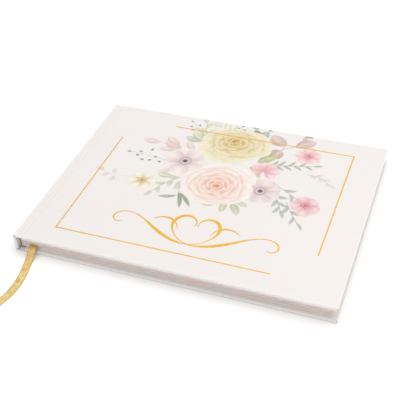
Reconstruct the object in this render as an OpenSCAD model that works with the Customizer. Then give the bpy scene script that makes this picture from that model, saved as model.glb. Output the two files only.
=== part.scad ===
// Wedding guest book: a landscape hardcover book lying closed on a table.
// The covered boards and the spine fold open on two hinge lines; ten sewn
// sections of pages sit between them and a ribbon marker runs out at the tail.
// Millimetres, +Z up. The origin is the middle of the underside.
// The spine is on the -X side, the tail of the book on the -Y side.

/* [Book] */
// Width of the closed case, spine to fore edge
book_width = 235; // [180:1:300]
// Height of the pages' format, tail to head
book_depth = 178; // [130:1:240]
// Thickness of the closed book
book_thickness = 13.4; // [11.4:0.2:20]
// How far the boards stand out past the pages
page_margin = 3; // [2:0.5:6]

/* [Case] */
// Thickness of the greyboard
board = 2; // [1.6:0.1:2.4]
// Thickness of the laminated cover paper
cover_paper = 0.25; // [0.2:0.05:0.4]
// Bare width between the spine board and each cover board
hinge_gap = 5.7; // [4:0.1:9]
// Depth of the groove pressed along the hinge
groove_depth = 0.9; // [0.4:0.1:1.4]
// Width of the paper folded over onto the inside
turn_in = 15; // [8:1:25]

/* [Pages] */
// Thickness of the end papers
end_paper = 0.2; // [0.15:0.05:0.3]
// Hollow between the spine board and the back of the pages
spine_hollow = 2; // [1.6:0.1:4]
// Thickness of the lining glued to the back of the pages
lining = 0.12; // [0.1:0.01:0.14]

/* [Ribbon] */
// Width of the ribbon marker
ribbon_width = 6; // [4:0.5:8]
// Thickness of the ribbon
ribbon_thick = 0.24; // [0.2:0.02:0.26]
// Distance from the back of the pages to the middle of the ribbon at the tail
ribbon_inset = 10.5; // [8:0.5:40]

/* [Gold foil] */
// Width of the frame lines
frame_line = 1; // [0.6:0.1:2]
// Distance of the frame from the spine
frame_left = 25.5; // [18:0.5:40]
// Distance of the frame from the fore edge
frame_right = 23; // [15:0.5:40]
// Distance of the frame from the head and the tail
frame_side = 17; // [12:0.5:30]
// Thickness of the foil
foil = 0.05; // [0.03:0.01:0.1]
// Size of the flourish, as a part of its full width of 125 mm
flourish_scale = 1; // [0.7:0.05:1.1]

/* [Hidden] */
slip = 0.02;
ribbon_room = 0.3;
spine_out = -book_width/2;
spine_in = spine_out + cover_paper + board;
board_edge = spine_in + hinge_gap;
fore = book_width/2;
half_depth = book_depth/2;
case_layer = cover_paper + board;
cover_top = book_thickness;
front_inner = cover_top - case_layer - cover_paper;
rear_inner = case_layer + cover_paper;
block_low = rear_inner + end_paper;
block_high = front_inner - end_paper;
block_back = spine_in + spine_hollow;
block_fore = fore - page_margin;
block_half = half_depth - page_margin;
section_count = 10;
opening_after = 5;
ribbon_after = 7;
section_room = (block_high - block_low - 2*end_paper - ribbon_room)/section_count;
front_stack_top = block_high - end_paper;
ribbon_low = front_stack_top - ribbon_after*section_room - ribbon_room;
ribbon_z = ribbon_low + ribbon_room/2;
ribbon_x = block_back + ribbon_inset;
groove_steps = 16;

function section_top(i) = front_stack_top - (i - 1)*section_room
  - (i > ribbon_after ? ribbon_room : 0);

// Ribbon route past the tail of the pages: [along x, out past the pages, height above the table]
ribbon_rest = ribbon_thick/2 + 0.04;
ribbon_route = [
  [0, 0, ribbon_z], [0, 1, ribbon_z], [0.1, 2.2, ribbon_z - 0.1],
  [0.2, 3.4, ribbon_z - 0.4], [0.3, 4.6, ribbon_z*0.85], [0.4, 5.8, ribbon_z*0.68],
  [0.5, 7, ribbon_z*0.48], [0.65, 8.4, ribbon_z*0.28], [0.85, 10, ribbon_z*0.13],
  [1.15, 12, ribbon_rest + 0.12], [1.5, 14, ribbon_rest], [2.15, 17, ribbon_rest],
  [3, 21, ribbon_rest], [3.7, 25, ribbon_rest], [4.35, 30, ribbon_rest],
  [4.55, 35, ribbon_rest], [4.4, 40, ribbon_rest], [3.8, 45, ribbon_rest],
  [2.5, 50, ribbon_rest], [0.7, 55, ribbon_rest], [-1.8, 59.8, ribbon_rest],
  [-4.8, 64.2, ribbon_rest], [-8.4, 68.1, ribbon_rest], [-12.5, 71.4, ribbon_rest],
  [-17, 74.1, ribbon_rest], [-21.8, 76.1, ribbon_rest], [-26.8, 77.4, ribbon_rest]
];
ribbon_points = [for (p = ribbon_route) [ribbon_x + p[0], -block_half - p[1], p[2]]];

// Flourish centre line: [across, up] from its middle, and the width of the stroke there
flourish_route = [
  [-54, -3, 0.5], [-58, -4, 0.8], [-61.5, -1, 1.1], [-61, 4, 1.2], [-56, 7.5, 1],
  [-48, 7.5, 0.8], [-39, 3.5, 1.2], [-30, -2.5, 2.2], [-21, -8, 2.6], [-11, -12, 2],
  [-1, -13, 0.9], [8, -9.5, 0.7], [15, -2, 1.2], [17.5, 6.5, 2.3], [14, 14, 2.6],
  [7, 16, 1.8], [1.5, 12, 1], [1, 6.5, 0.6]
];
leaf_route = [
  [-33, 6, 0.4], [-27, 9.5, 1.3], [-20.5, 9.5, 1.7], [-15, 5.5, 0.9], [-12, 0, 0.4]
];
flourish_middle = [spine_out + 122.5/235*book_width, -half_depth + 41/178*book_depth];

module slab(x0, x1, y_half, z0, z1) {
  translate([x0, -y_half, z0])
    cube([x1 - x0, 2*y_half, z1 - z0]);
}

module board_slab(z0) {
  slab(board_edge, fore - cover_paper, half_depth - cover_paper, z0, z0 + board);
}

// Cover paper round one board: outside face, three wrapped edges and the turn-ins.
module wrapped_paper(z0, z_board, z_window) {
  difference() {
    slab(board_edge, fore, half_depth, z0, z0 + board + 2*cover_paper);
    slab(board_edge - 1, fore - cover_paper, half_depth - cover_paper, z_board, z_board + board);
    slab(board_edge - 1, fore - turn_in, half_depth - turn_in, z_window, z_window + 2*cover_paper);
  }
}

module pastedown(z0) {
  slab(board_edge, block_fore, block_half, z0, z0 + end_paper - slip);
}

// Paper bridging the hinge, dipping into the groove; side is 1 for the top, -1 for the underside.
module hinge_paper(z_face, side) {
  x0 = spine_in + cover_paper;
  run = board_edge - x0;
  dip = [for (k = [0:groove_steps]) let (u = k/groove_steps) groove_depth*pow(sin(180*u), 2)];
  outer = [for (k = [0:groove_steps]) [x0 + run*k/groove_steps, z_face - side*dip[k]]];
  inner = [for (k = [groove_steps:-1:0])
    [x0 + run*k/groove_steps, z_face - side*(dip[k] + cover_paper)]];
  rotate([90, 0, 0])
    translate([0, 0, -half_depth])
      linear_extrude(height = book_depth)
        polygon(concat(outer, inner));
}

// One sewn section: folded leaves, rounded at the back where they fold.
module section(i) {
  top = section_top(i) - slip/2;
  low = section_top(i) - section_room + slip/2;
  r = (top - low)/2;
  fold = [for (a = [90:22.5:270]) [block_back + r + r*cos(a), low + r + r*sin(a)]];
  rotate([90, 0, 0])
    translate([0, 0, -block_half])
      linear_extrude(height = 2*block_half)
        polygon(concat(fold, [[block_fore, low], [block_fore, top]]));
}

module frame_bar(x0, x1, y0, y1) {
  translate([x0, y0, cover_top])
    cube([x1 - x0, y1 - y0, foil]);
}

// Catmull-Rom point on a route at parameter t, counted in route points.
function spline(route, t) =
  let (n = len(route), i = min(floor(t), n - 2), f = t - i,
    a = route[max(i - 1, 0)], b = route[i], c = route[i + 1], d = route[min(i + 2, n - 1)])
  0.5*(2*b + (c - a)*f + (2*a - 5*b + 4*c - d)*f*f + (3*b - a - 3*c + d)*f*f*f);

// Outline of a pen stroke that swells and thins along a route.
function stroke(route, steps) =
  let (n = len(route) - 1,
    mid = [for (k = [0:steps]) spline(route, n*k/steps)],
    dir = [for (k = [0:steps]) let (v = mid[min(k + 1, steps)] - mid[max(k - 1, 0)],
      m = norm([v[0], v[1]])) [v[0]/m, v[1]/m]],
    left = [for (k = [0:steps]) [mid[k][0] - dir[k][1]*mid[k][2]/2,
      mid[k][1] + dir[k][0]*mid[k][2]/2]],
    right = [for (k = [steps:-1:0]) [mid[k][0] + dir[k][1]*mid[k][2]/2,
      mid[k][1] - dir[k][0]*mid[k][2]/2]])
  concat(left, right);

module flourish_half() {
  polygon(stroke(flourish_route, 68));
  polygon(stroke(leaf_route, 20));
}

module back_board() {
  color([0.66, 0.63, 0.58]) board_slab(cover_paper);
}

module back_cover_paper() {
  color([0.95, 0.93, 0.92]) wrapped_paper(0, cover_paper, case_layer);
}

module back_pastedown() {
  color([0.96, 0.94, 0.93]) pastedown(rear_inner);
}

module rear_hinge_paper() {
  color([0.95, 0.93, 0.92]) hinge_paper(0, -1);
}

module spine_board() {
  color([0.66, 0.63, 0.58])
    slab(spine_out + cover_paper, spine_in, half_depth - cover_paper,
      cover_paper, book_thickness - cover_paper);
}

module spine_cover_paper() {
  color([0.95, 0.93, 0.92])
    difference() {
      slab(spine_out, spine_in + cover_paper, half_depth, 0, book_thickness);
      slab(spine_out + cover_paper, spine_in, half_depth - cover_paper,
        cover_paper, book_thickness - cover_paper);
      slab(spine_in - cover_paper, spine_in + 2*cover_paper, half_depth - turn_in,
        cover_paper, book_thickness - cover_paper);
    }
}

module front_hinge_paper() {
  color([0.95, 0.93, 0.92]) hinge_paper(cover_top, 1);
}

module front_board() {
  color([0.66, 0.63, 0.58]) board_slab(cover_top - case_layer);
}

module front_cover_paper() {
  color([0.95, 0.93, 0.92])
    wrapped_paper(front_inner, cover_top - case_layer, front_inner - cover_paper);
}

module front_pastedown() {
  color([0.96, 0.94, 0.93]) pastedown(block_high + slip);
}

module foil_frame_lower() {
  x0 = spine_out + frame_left;
  y0 = -half_depth + frame_side;
  color([0.86, 0.66, 0.2])
    union() {
      frame_bar(x0, x0 + frame_line, y0, y0 + 0.815*(book_depth - 2*frame_side));
      frame_bar(x0, x0 + 0.857*(book_width - frame_left - frame_right), y0, y0 + frame_line);
    }
}

module foil_frame_upper() {
  x1 = fore - frame_right;
  y1 = half_depth - frame_side;
  color([0.86, 0.66, 0.2])
    union() {
      frame_bar(x1 - frame_line, x1, y1 - 0.815*(book_depth - 2*frame_side), y1);
      frame_bar(x1 - 0.8*(book_width - frame_left - frame_right), x1, y1 - frame_line, y1);
    }
}

module foil_flourish() {
  color([0.86, 0.66, 0.2])
    translate([flourish_middle[0], flourish_middle[1], cover_top])
      linear_extrude(height = foil)
        scale([flourish_scale, flourish_scale])
          union() {
            flourish_half();
            mirror([1, 0])
              flourish_half();
          }
}

module front_flyleaf() {
  color([0.97, 0.95, 0.94])
    slab(block_back, block_fore, block_half, block_high - end_paper + slip/2, block_high - slip/2);
}

module back_flyleaf() {
  color([0.97, 0.95, 0.94])
    slab(block_back, block_fore, block_half, block_low + slip/2, block_low + end_paper - slip/2);
}

module spine_lining() {
  color([0.9, 0.88, 0.84])
    slab(block_back - slip - lining, block_back - slip, block_half - 3, block_low, block_high);
}

module ribbon_inner() {
  x_head = block_back + ribbon_width/2 + 1;
  y_head = block_half - 12;
  color([0.85, 0.68, 0.3])
    translate([0, 0, ribbon_z - ribbon_thick/2])
      linear_extrude(height = ribbon_thick)
        polygon([[ribbon_x - ribbon_width/2, -block_half], [ribbon_x + ribbon_width/2, -block_half],
          [x_head + ribbon_width/2, y_head], [x_head - ribbon_width/2, y_head]]);
}

// Cross section of the ribbon: [across, through], eight corners.
function ribbon_ring(w, t) = [[-w/2, -t/4], [-w/2 + t/2, -t/2], [w/2 - t/2, -t/2], [w/2, -t/4],
  [w/2, t/4], [w/2 - t/2, t/2], [-w/2 + t/2, t/2], [-w/2, t/4]];

module ribbon_tail() {
  rings = len(ribbon_points);
  shape = ribbon_ring(ribbon_width, ribbon_thick);
  sides = len(shape);
  aim = [for (k = [0:rings - 1])
    let (v = ribbon_points[min(k + 1, rings - 1)] - ribbon_points[max(k - 1, 0)]) v/norm(v)];
  across = [for (v = aim) [-v[1], v[0], 0]/norm([v[0], v[1]])];
  thick = [for (k = [0:rings - 1]) cross(aim[k], across[k])];
  points = [for (k = [0:rings - 1]) for (s = shape)
    ribbon_points[k] + s[0]*across[k] + s[1]*thick[k]];
  walls = [for (k = [0:rings - 2]) for (j = [0:sides - 1])
    [k*sides + j, k*sides + (j + 1)%sides, (k + 1)*sides + (j + 1)%sides, (k + 1)*sides + j]];
  start = [for (j = [sides - 1:-1:0]) j];
  stop = [for (j = [0:sides - 1]) (rings - 1)*sides + j];
  color([0.85, 0.68, 0.3])
    polyhedron(points = points, faces = concat(walls, [start, stop]));
}

module section_01() {
  color([0.98, 0.97, 0.95]) section(1);
}

module section_02() {
  color([0.98, 0.97, 0.95]) section(2);
}

module section_03() {
  color([0.98, 0.97, 0.95]) section(3);
}

module section_04() {
  color([0.98, 0.97, 0.95]) section(4);
}

module section_05() {
  color([0.98, 0.97, 0.95]) section(5);
}

module section_06() {
  color([0.98, 0.97, 0.95]) section(6);
}

module section_07() {
  color([0.98, 0.97, 0.95]) section(7);
}

module section_08() {
  color([0.98, 0.97, 0.95]) section(8);
}

module section_09() {
  color([0.98, 0.97, 0.95]) section(9);
}

module section_10() {
  color([0.98, 0.97, 0.95]) section(10);
}

back_board();
back_cover_paper();
back_pastedown();
rear_hinge_paper();
spine_board();
spine_cover_paper();
front_hinge_paper();
front_board();
front_cover_paper();
front_pastedown();
foil_frame_lower();
foil_frame_upper();
foil_flourish();
front_flyleaf();
section_01();
section_02();
section_03();
section_04();
section_05();
section_06();
section_07();
section_08();
section_09();
section_10();
back_flyleaf();
spine_lining();
ribbon_inner();
ribbon_tail();
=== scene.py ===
import bmesh
import bpy
import numpy as np
from bpy.props import FloatProperty, FloatVectorProperty, IntProperty, PointerProperty
from mathutils import Matrix, Vector


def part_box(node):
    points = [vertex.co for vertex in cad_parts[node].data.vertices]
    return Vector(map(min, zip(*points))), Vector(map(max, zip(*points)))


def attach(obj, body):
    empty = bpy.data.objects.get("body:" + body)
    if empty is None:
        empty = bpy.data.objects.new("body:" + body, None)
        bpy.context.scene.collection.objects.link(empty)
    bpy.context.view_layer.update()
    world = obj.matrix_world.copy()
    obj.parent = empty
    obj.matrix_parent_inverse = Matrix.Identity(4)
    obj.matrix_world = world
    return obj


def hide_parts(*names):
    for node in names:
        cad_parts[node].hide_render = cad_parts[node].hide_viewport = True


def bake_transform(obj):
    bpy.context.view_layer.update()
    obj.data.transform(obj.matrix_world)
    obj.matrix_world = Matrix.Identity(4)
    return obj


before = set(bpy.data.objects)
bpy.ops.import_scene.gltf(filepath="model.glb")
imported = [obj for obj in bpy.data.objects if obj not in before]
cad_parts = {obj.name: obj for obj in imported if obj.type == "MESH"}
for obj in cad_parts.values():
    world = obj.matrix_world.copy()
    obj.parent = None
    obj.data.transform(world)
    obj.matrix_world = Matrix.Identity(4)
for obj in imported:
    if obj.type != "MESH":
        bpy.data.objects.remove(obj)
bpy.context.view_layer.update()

bl_info = {
    "name": "Wedding guest book",
    "version": (1, 0, 0),
    "blender": (4, 5, 0),
    "location": "3D View > Sidebar > Guest book",
    "description": "Builds the printed case, the pages and the ribbon of a landscape guest book",
    "category": "Object",
}

MM = 0.001
SECTIONS = [f"section_{number:02d}" for number in range(1, 11)]
# The first five sections turn with the cover, the next two only lift, and the rest stay.
SECTION_BODIES = {
    **{section: f"turned_{section}" for section in SECTIONS[:5]},
    **{section: f"lifted_{section}" for section in SECTIONS[5:7]},
    **dict.fromkeys(SECTIONS[7:], "back_case"),
}
# The print's place on the front cover, in metres: from the spine, and up from the tail.
PRINT_LEFT, PRINT_RIGHT, PRINT_TAIL = 0.019, 0.210, 0.062
# Spacing of the cover's points where nothing is printed.
PLAIN_GRID = 0.004
# Where the ribbon leaves the pages, from their back, and the lowest its middle may lie.
RIBBON_EXIT, RIBBON_LOWEST = 0.0105, 0.00013
# Cut from the lining's lower end, which keeps it clear of the rear hinge when the book opens.
LINING_TRIM = 0.3 * MM

# Route of the ribbon past the tail of the pages, in metres from where it leaves them:
# along the book, out from the pages, height above the table.
RIBBON_ROUTE = [
    (0, 0, 0.00524), (0, 0.001, 0.00524), (0.0001, 0.0022, 0.00514),
    (0.0002, 0.0034, 0.00484), (0.0003, 0.0046, 0.00445), (0.0004, 0.0058, 0.00356),
    (0.0005, 0.007, 0.00252), (0.00065, 0.0084, 0.00147), (0.00085, 0.010, 0.00068),
    (0.00115, 0.012, 0.00028), (0.0015, 0.014, 0.00016), (0.00215, 0.017, 0.00016),
    (0.003, 0.021, 0.00016), (0.0037, 0.025, 0.00016), (0.00435, 0.030, 0.00016),
    (0.00455, 0.035, 0.00016), (0.0044, 0.040, 0.00016), (0.0038, 0.045, 0.00016),
    (0.0025, 0.050, 0.00016), (0.0007, 0.055, 0.00016), (-0.0018, 0.0598, 0.00016),
    (-0.0048, 0.0642, 0.00016), (-0.0084, 0.0681, 0.00016), (-0.0125, 0.0714, 0.00016),
    (-0.017, 0.0741, 0.00016), (-0.0218, 0.0761, 0.00016), (-0.0268, 0.0774, 0.00016),
]


# ---------------------------------------------------------------- settings

def length(name, description, default, **limits):
    """A length property, in metres."""
    return FloatProperty(name=name, description=description, default=default,
                         unit="LENGTH", subtype="DISTANCE", precision=5, **limits)


def colour(name, description, default):
    """A colour property, in scene-linear values."""
    return FloatVectorProperty(name=name, description=description, default=default,
                               size=3, subtype="COLOR", min=0, max=1)


def share(name, description, default):
    """A share from 0 to 1."""
    return FloatProperty(name=name, description=description, default=default,
                         min=0, max=1, subtype="FACTOR")


class CaseSettings(bpy.types.PropertyGroup):
    paper: colour("Cover paper", "Laminated paper of the case", (0.750, 0.720, 0.701))
    board: colour("Greyboard", "Bare edge of the boards", (0.36, 0.33, 0.29))
    roughness: share("Lamination roughness", "How matt the lamination is", 0.42)
    edge_radius: length("Edge radius", "Rounding where the paper wraps a board", 0.0007)
    rim: length("Corner radius", "Rounding of the covers' corners in plan", 0.0013)
    turn_in: length("Turn-in", "Paper folded over onto the inside", 0.015)
    paper_thickness: length("Paper thickness", "Thickness of the cover paper", 0.00025)
    hinge_bend: length("Hinge bend", "Width of paper that bends, beside the spine", 0.0032)


class PrintSettings(bpy.types.PropertyGroup):
    grid: length("Print grid", "Spacing of the points that carry the print", 0.00056)
    strength: share("Print strength", "How strongly the flowers are printed", 1.0)
    grain: share("Pigment grain", "How uneven the washes of colour are", 0.5)


class PageSettings(bpy.types.PropertyGroup):
    paper: colour("Page paper", "Paper of the pages", (0.86, 0.825, 0.79))
    end_paper: colour("End paper", "Paper pasted to the covers", (0.86, 0.815, 0.785))
    sheets: IntProperty(name="Sheets", description="Folded sheets in a section",
                        default=4, min=2, max=6)
    unevenness: length("Unevenness", "How far the leaves' edges differ", 0.0003)


class RibbonSettings(bpy.types.PropertyGroup):
    light: colour("Ribbon light", "Satin where it catches light", (0.84, 0.66, 0.29))
    dark: colour("Ribbon dark", "Satin between its ribs", (0.50, 0.30, 0.055))
    width: length("Ribbon width", "Width of the ribbon", 0.006)
    thickness: length("Ribbon thickness", "Thickness of the ribbon", 0.00024)


class FoilSettings(bpy.types.PropertyGroup):
    gold: colour("Foil", "Colour of the foil", (0.74, 0.415, 0.03))
    roughness: share("Foil roughness", "How soft its gloss is", 0.38)


class StageSettings(bpy.types.PropertyGroup):
    floor: colour("Floor", "Pale table top", (0.93, 0.93, 0.93))
    key: FloatProperty(name="Key light", description="Power of the large soft light above",
                       default=9.0, min=0)
    side: FloatProperty(name="Side light", description="Power of the soft light in front",
                        default=1.6, min=0)
    sky: FloatProperty(name="Sky", description="Strength of the even light all round",
                       default=0.80, min=0)


SETTINGS = {
    "guest_book_case": CaseSettings, "guest_book_print": PrintSettings,
    "guest_book_pages": PageSettings, "guest_book_ribbon": RibbonSettings,
    "guest_book_foil": FoilSettings, "guest_book_stage": StageSettings,
}


# ---------------------------------------------------------------- meshes

def smoothstep(low, high, value):
    """0 below low, 1 above high, and 3t^2 - 2t^3 between them."""
    t = np.clip((value - low) / (high - low), 0, 1)
    return t * t * (3 - 2 * t)


def hash_noise(i, j, seed):
    """Repeatable value from 0 to 1 for each whole-numbered pair: the fraction of a large sine."""
    value = np.sin(i * 127.1 + j * 311.7 + seed * 74.7) * 43758.5453
    return value - np.floor(value)


def value_noise(x, y, seed=0.0):
    """Smooth noise from 0 to 1: corner values of a unit lattice, blended by smoothstep weights."""
    i, j = np.floor(x), np.floor(y)
    u, v = smoothstep(0, 1, x - i), smoothstep(0, 1, y - j)
    low = hash_noise(i, j, seed) * (1 - u) + hash_noise(i + 1, j, seed) * u
    high = hash_noise(i, j + 1, seed) * (1 - u) + hash_noise(i + 1, j + 1, seed) * u
    return low * (1 - v) + high * v


def cloudy(x, y, seed=0.0):
    """Three octaves of value noise, each half as strong and twice as fine as the last."""
    return (value_noise(x, y, seed) * 4 + value_noise(2 * x, 2 * y, seed + 1) * 2
            + value_noise(4 * x, 4 * y, seed + 2)) / 7


def grid_quads(rows, columns, start=0, around=False):
    """Quads of a grid of rows by columns points; around joins the last column to the first."""
    i, j = np.meshgrid(np.arange(rows - 1), np.arange(columns if around else columns - 1),
                       indexing="ij")
    k = (j + 1) % columns
    quads = np.stack([i * columns + j, (i + 1) * columns + j,
                      (i + 1) * columns + k, i * columns + k], axis=-1)
    return (quads.reshape(-1, 4) + start).tolist()


def make_mesh(name, points, faces, uv=None, colours=None, edge=None, sharp=0.9):
    """An object from points and faces, with its doubles merged and its faces turned outwards.
    uv, colours and edge are values for each point."""
    mesh = bpy.data.meshes.new(name)
    mesh.from_pydata(np.asarray(points, float).tolist(), [], faces)
    if uv is not None:
        corner = np.empty(len(mesh.loops), np.int32)
        mesh.loops.foreach_get("vertex_index", corner)
        layer = mesh.uv_layers.new(name="UVMap")
        layer.data.foreach_set("uv", np.asarray(uv, np.float32)[corner].ravel())
    if colours is not None:
        solid = np.ones((len(points), 4), np.float32)
        solid[:, :3] = colours
        mesh.color_attributes.new("print", "FLOAT_COLOR", "POINT").data.foreach_set(
            "color", solid.ravel())
    if edge is not None:
        mesh.attributes.new("edge", "FLOAT", "POINT").data.foreach_set(
            "value", np.asarray(edge, np.float32))
    work = bmesh.new()
    work.from_mesh(mesh)
    bmesh.ops.remove_doubles(work, verts=work.verts, dist=1e-6)
    bmesh.ops.dissolve_degenerate(work, edges=work.edges, dist=1e-7)
    bmesh.ops.recalc_face_normals(work, faces=work.faces)
    work.to_mesh(mesh)
    work.free()
    mesh.shade_smooth()
    mesh.set_sharp_from_angle(angle=sharp)
    piece = bpy.data.objects.new(name, mesh)
    bpy.context.scene.collection.objects.link(piece)
    return piece


def tube_faces(rings, sides, start=0):
    """Walls of a closed tube of rings, each of sides points, with a face over either end."""
    caps = [list(range(start, start + sides))[::-1],
            [start + (rings - 1) * sides + side for side in range(sides)]]
    return grid_quads(rings, sides, start, around=True) + caps


def carried(outline, y):
    """Points of an outline of (x, z) pairs, repeated at each place y along the book."""
    return np.stack([np.tile(outline[:, 0], (len(y), 1)), np.tile(y[:, None], (1, len(outline))),
                     np.tile(outline[:, 1], (len(y), 1))], -1).reshape(-1, 3)


def spline(points, count):
    """Catmull-Rom curve through the points, sampled at count places even in the parameter."""
    points = np.asarray(points, float)
    t = np.linspace(0, len(points) - 1, count)
    i = np.minimum(t.astype(int), len(points) - 2)
    f = (t - i)[:, None]
    a, b = points[np.maximum(i - 1, 0)], points[i]
    c, d = points[i + 1], points[np.minimum(i + 2, len(points) - 1)]
    return 0.5 * (2 * b + (c - a) * f + (2 * a - 5 * b + 4 * c - d) * f ** 2
                  + (3 * b - a - 3 * c + d) * f ** 3)


# ---------------------------------------------------------------- shader helpers

def add(tree, kind, values=None, **options):
    """A new node. values sets its inputs, by number or name, to a value or another node's output."""
    item = tree.nodes.new(kind)
    for key, value in options.items():
        setattr(item, key, value)
    for key, value in (values or {}).items():
        if isinstance(value, bpy.types.NodeSocket):
            tree.links.new(value, item.inputs[key])
        else:
            item.inputs[key].default_value = value
    return item


def maths(tree, operation, *values):
    """Output of a Math node."""
    return add(tree, "ShaderNodeMath", dict(enumerate(values)), operation=operation).outputs[0]


def blend_colour(tree, factor, first, second):
    """Output of a colour Mix node; first and second are colours or outputs."""
    item = add(tree, "ShaderNodeMix", data_type="RGBA")
    for socket, value in ((item.inputs[0], factor), (item.inputs[6], first),
                          (item.inputs[7], second)):
        if isinstance(value, bpy.types.NodeSocket):
            tree.links.new(value, socket)
        elif hasattr(value, "__len__"):
            socket.default_value = (*value, 1) if len(value) == 3 else value
        else:
            socket.default_value = value
    return item.outputs[2]


def remap(tree, value, low, high, to_low, to_high):
    """Output of a Map Range node that eases between its ends."""
    return add(tree, "ShaderNodeMapRange", {0: value, 1: low, 2: high, 3: to_low, 4: to_high},
               interpolation_type="SMOOTHSTEP").outputs[0]


def noise(tree, vector, scale, detail=3.0, rough=0.55):
    """Factor of a Noise Texture."""
    return add(tree, "ShaderNodeTexNoise",
               {"Vector": vector, "Scale": scale, "Detail": detail, "Roughness": rough}).outputs[0]


def new_group(name, inputs, outputs):
    """A shader node group with named sockets, given as (name, type, default) and (name, type)."""
    tree = bpy.data.node_groups.new(name, "ShaderNodeTree")
    for label, kind, default in inputs:
        socket = tree.interface.new_socket(label, in_out="INPUT", socket_type="NodeSocket" + kind)
        if default is not None:
            socket.default_value = default
    for label, kind in outputs:
        tree.interface.new_socket(label, in_out="OUTPUT", socket_type="NodeSocket" + kind)
    return tree, tree.nodes.new("NodeGroupInput").outputs, tree.nodes.new("NodeGroupOutput").inputs


def paper_group():
    """Paper: soft cloudy tone, short fibres as height, and a little change of gloss."""
    if "paper_surface" in bpy.data.node_groups:
        return bpy.data.node_groups["paper_surface"]
    tree, given, result = new_group(
        "paper_surface",
        [("Vector", "Vector", None), ("Color", "Color", (1, 1, 1, 1)), ("Tone", "Float", 0.03),
         ("Fibre size", "Float", 1500.0), ("Roughness", "Float", 0.5)],
        [("Color", "Color"), ("Height", "Float"), ("Roughness", "Float")])
    cloud = noise(tree, given["Vector"], 26.0, 4.0)
    stretched = add(tree, "ShaderNodeMapping", {"Vector": given["Vector"], "Scale": (1, 0.35, 1)})
    fibre = noise(tree, stretched.outputs[0], given["Fibre size"], 2.0, 0.7)
    fine = noise(tree, given["Vector"], 6000.0, 1.0)
    mixed = maths(tree, "MULTIPLY_ADD", fibre, 0.6, maths(tree, "MULTIPLY", cloud, 0.4))
    swing = maths(tree, "MULTIPLY", maths(tree, "SUBTRACT", mixed, 0.5), given["Tone"])
    bright = maths(tree, "ADD", 1.0, maths(tree, "MULTIPLY", swing, 2.0))
    tinted = add(tree, "ShaderNodeVectorMath", {0: given["Color"], 3: bright}, operation="SCALE")
    tree.links.new(tinted.outputs[0], result["Color"])
    tree.links.new(maths(tree, "MULTIPLY_ADD", fine, 0.35, fibre), result["Height"])
    tree.links.new(maths(tree, "MULTIPLY_ADD", maths(tree, "SUBTRACT", cloud, 0.5), 0.22,
                         given["Roughness"]), result["Roughness"])
    return tree


def edge_wear_and_highlight_group():
    """Edge wear and painted highlight: a broken mask along the edge attribute, stronger where the noise
    is high. It lightens the rounded edges, both as the paper's pale core showing through and as a
    painted highlight.
    """
    if "edge_wear_and_highlight" in bpy.data.node_groups:
        return bpy.data.node_groups["edge_wear_and_highlight"]
    tree, given, result = new_group(
        "edge_wear_and_highlight",
        [("Vector", "Vector", None), ("Color", "Color", (1, 1, 1, 1)),
         ("Worn and highlight color", "Color", (1, 1, 1, 1)), ("Amount", "Float", 0.3)],
        [("Color", "Color"), ("Mask", "Float")])
    edge = add(tree, "ShaderNodeAttribute", attribute_name="edge").outputs["Fac"]
    broken = remap(tree, noise(tree, given["Vector"], 420.0, 5.0, 0.7), 0.42, 0.62, 0.25, 1.0)
    mask = maths(tree, "MULTIPLY", maths(tree, "MULTIPLY", edge, broken), given["Amount"])
    tree.links.new(blend_colour(tree, mask, given["Color"], given["Worn and highlight color"]), result["Color"])
    tree.links.new(mask, result["Mask"])
    return tree


def satin_group():
    """Satin: long warp floats across a fine rib, from the UV map in metres."""
    if "satin_weave" in bpy.data.node_groups:
        return bpy.data.node_groups["satin_weave"]
    tree, given, result = new_group(
        "satin_weave",
        [("UV", "Vector", None), ("Warp", "Float", 9000.0), ("Weft", "Float", 7000.0)],
        [("Weave", "Float"), ("Height", "Float"), ("Streak", "Float")])
    split = add(tree, "ShaderNodeSeparateXYZ", {0: given["UV"]})
    across, along = split.outputs[0], split.outputs[1]
    warp = maths(tree, "SINE", maths(tree, "MULTIPLY", across, given["Warp"]))
    stagger = maths(tree, "MULTIPLY", maths(tree, "SIGN", warp), 1.6)
    weft = maths(tree, "SINE", maths(tree, "ADD", maths(tree, "MULTIPLY", along, given["Weft"]),
                                     stagger))
    both = maths(tree, "MULTIPLY_ADD", maths(tree, "MULTIPLY", warp, weft), 0.25,
                 maths(tree, "MULTIPLY_ADD", weft, 0.25, 0.5))
    lengthwise = add(tree, "ShaderNodeMapping", {"Vector": given["UV"], "Scale": (1, 0.05, 1)})
    streak = noise(tree, lengthwise.outputs[0], 2600.0, 2.0)
    tree.links.new(both, result["Weave"])
    tree.links.new(maths(tree, "MULTIPLY_ADD", streak, 0.4, both), result["Height"])
    tree.links.new(streak, result["Streak"])
    return tree


def new_material(name):
    """A material with an empty tree but for its shader and output."""
    material = bpy.data.materials.new(name)
    material.use_nodes = True
    tree = material.node_tree
    tree.nodes.clear()
    shader = tree.nodes.new("ShaderNodeBsdfPrincipled")
    out = tree.nodes.new("ShaderNodeOutputMaterial")
    tree.links.new(shader.outputs[0], out.inputs[0])
    return material, tree, shader


def use_group(tree, group, values):
    """A group node in a material, with its inputs set or linked."""
    item = tree.nodes.new("ShaderNodeGroup")
    item.node_tree = group
    for key, value in values.items():
        if isinstance(value, bpy.types.NodeSocket):
            tree.links.new(value, item.inputs[key])
        else:
            item.inputs[key].default_value = (*value, 1) if hasattr(value, "__len__") else value
    return item.outputs


def finish_material(tree, shader, colour_out, rough_out, height_out, bump, depth):
    """Links colour, roughness and height to the shader; bump is the strength and depth in metres."""
    tree.links.new(colour_out, shader.inputs["Base Color"])
    tree.links.new(rough_out, shader.inputs["Roughness"])
    relief = add(tree, "ShaderNodeBump", {"Strength": bump, "Distance": depth,
                                          "Height": height_out})
    tree.links.new(relief.outputs[0], shader.inputs["Normal"])


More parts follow.
